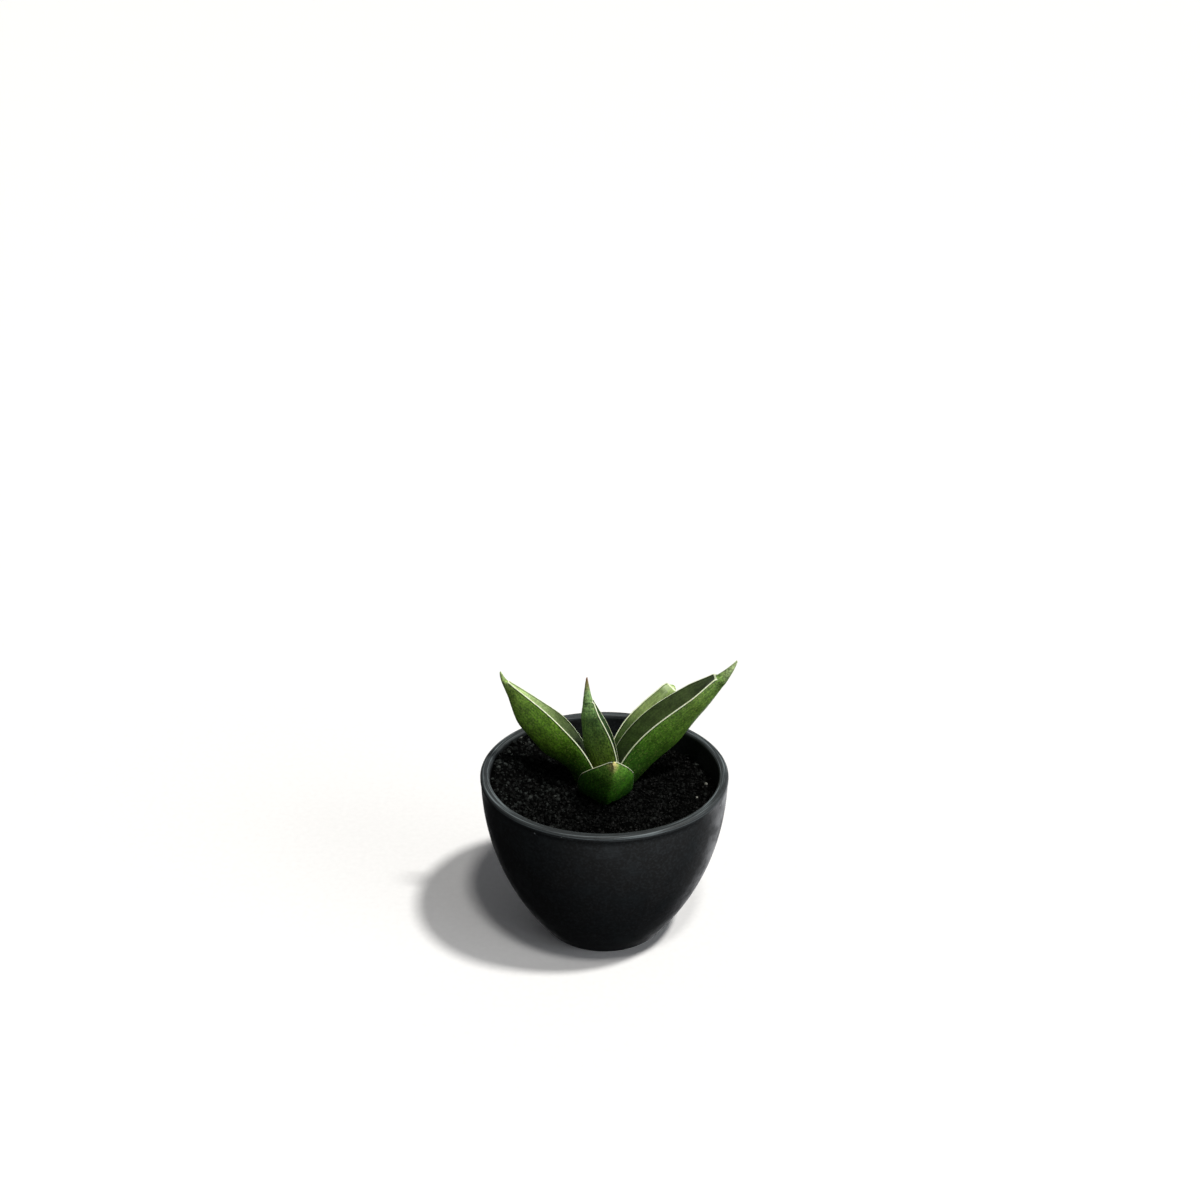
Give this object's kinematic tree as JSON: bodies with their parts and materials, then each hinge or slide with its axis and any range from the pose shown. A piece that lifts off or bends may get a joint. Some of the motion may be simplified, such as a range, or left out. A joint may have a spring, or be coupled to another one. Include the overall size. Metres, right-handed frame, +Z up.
{
  "type": "potted sansevieria pinguicula hybrid",
  "caption": "Small succulent with thick channelled sword leaves that end in spine tips, standing in dark grit in a round bowl-sided pot with a thick rim.",
  "frame": {"origin": "the middle of the pot's flat underside, on the pot's axis", "axes": "+Z up along the pot's axis; the longest leaf leans towards +X; the short front leaf points towards -Y"},
  "size_m": [0.1109, 0.108, 0.124],
  "materials": {
    "pot": "matte charcoal, dusty at the rim, with faint rub marks",
    "soil": "loose black grit",
    "crown": "fibrous living stem and roots",
    "leaf": "waxy green skin, pale flecks on the back, cream margins"
  },
  "bodies": {
    "root": {"pot": "pot", "soil": "soil", "crown": "crown", "leaf_back": "leaf", "leaf_centre": "leaf", "leaf_right": "leaf", "leaf_left": "leaf", "leaf_front": "leaf"}
  },
  "joints": []
}
